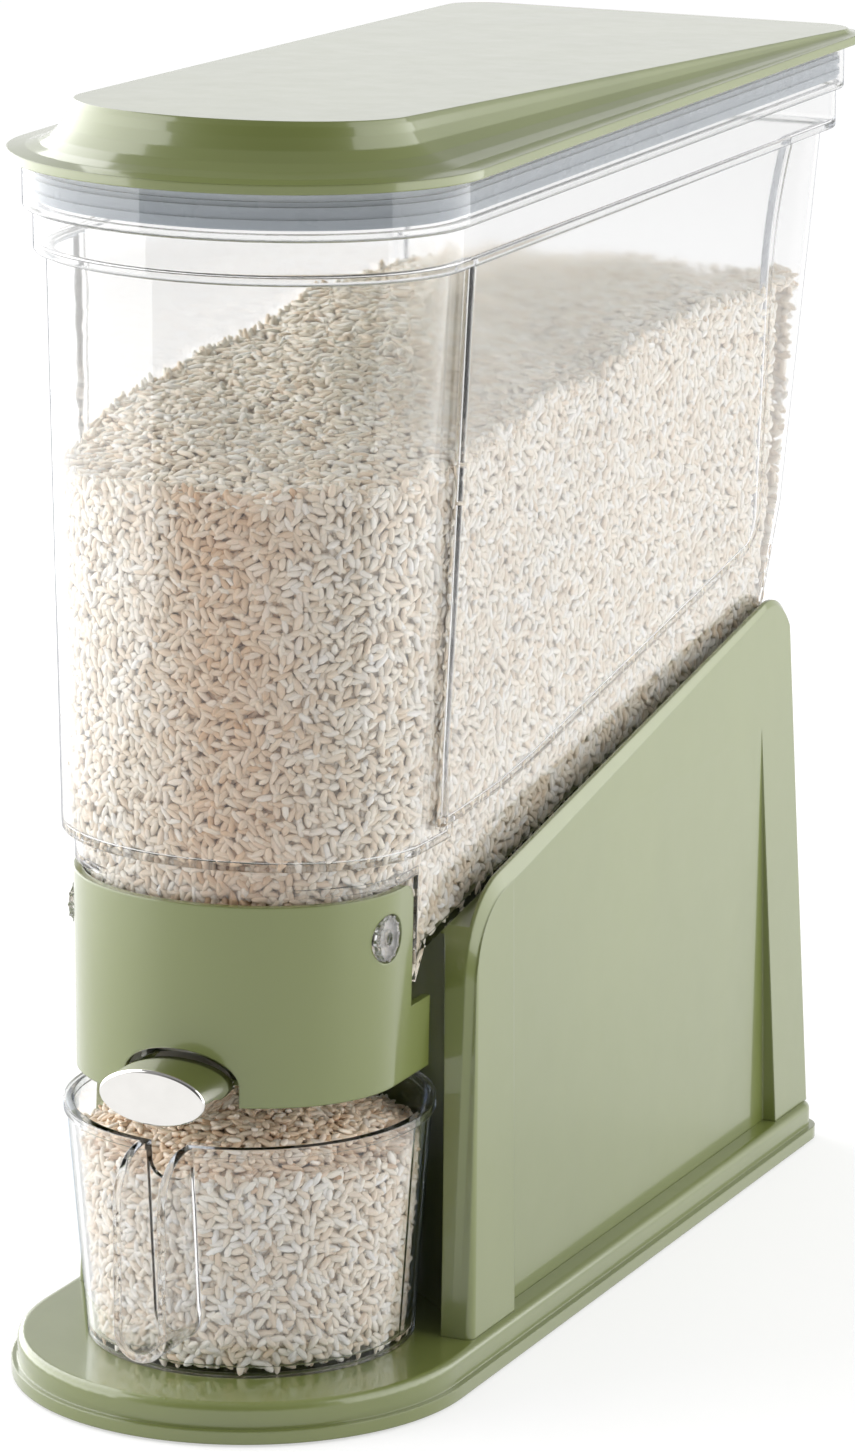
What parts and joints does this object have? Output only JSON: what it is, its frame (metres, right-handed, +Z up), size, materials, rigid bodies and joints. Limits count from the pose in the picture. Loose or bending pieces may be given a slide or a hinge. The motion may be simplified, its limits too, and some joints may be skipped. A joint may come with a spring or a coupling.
{
  "type": "rice dispenser",
  "caption": "Worktop rice dispenser: clear sloped hopper with a lift-off lid on a wedge stand, push-button gate outlet and a clear measuring cup on the base.",
  "frame": {"origin": "centre of the whole object's footprint, on the surface it stands on", "axes": "+Z up, -Y towards the front where the button and cup are, +X towards the right side seen from behind the lid's tail"},
  "size_m": [0.1698, 0.438, 0.44],
  "materials": {
    "green_plastic": "smooth glossy sage green moulded plastic",
    "green_inner": "satin sage green moulded plastic",
    "clear_plastic": "clear, polished, slightly cool at thick edges",
    "frosted_plastic": "translucent cool white",
    "white_plastic": "fine satin",
    "grey_seal": "soft matt silicone",
    "foot_rubber": "matt",
    "bright_plate": "mirror-bright plating on plastic",
    "screw_steel": "zinc-plated",
    "spring_steel": "drawn wire"
  },
  "bodies": {
    "base": {"base_plate": "green_plastic", "base_feet": "foot_rubber", "base_screws": "screw_steel", "stand": "green_plastic"},
    "hopper_unit": {"hopper": "clear_plastic", "outlet_gasket": "grey_seal", "outlet_chute": "white_plastic", "chute_screws": "screw_steel", "gate_wiper": "grey_seal", "gate_guide": "white_plastic", "guide_screws": "screw_steel", "front_cover": "green_plastic", "cover_pegs": "clear_plastic", "return_springs": "spring_steel"},
    "button": {"gate_slide": "green_inner", "button_cap": "bright_plate"},
    "lid_unit": {"lid": "green_plastic", "lid_liner": "frosted_plastic", "lid_seal": "grey_seal"},
    "cup": {"measuring_cup": "clear_plastic"}
  },
  "joints": [
    {"name": "hopper_lift", "type": "slide", "parent": "base", "child": "hopper_unit", "axis": [0, 0, 1], "range_m": [0, 0.12]},
    {"name": "lid_lift", "type": "slide", "parent": "hopper_unit", "child": "lid_unit", "axis": [0, 0, 1], "range_m": [0, 0.05]},
    {"name": "button_push", "type": "slide", "parent": "hopper_unit", "child": "button", "axis": [0, 1, 0], "range_m": [0, 0.016], "stiffness_N_per_m": 150, "springref_m": -0.004, "deforming": ["return_springs"]},
    {"name": "cup_pull", "type": "slide", "parent": "base", "child": "cup", "axis": [0, -1, 0], "range_m": [0, 0.16]}
  ]
}
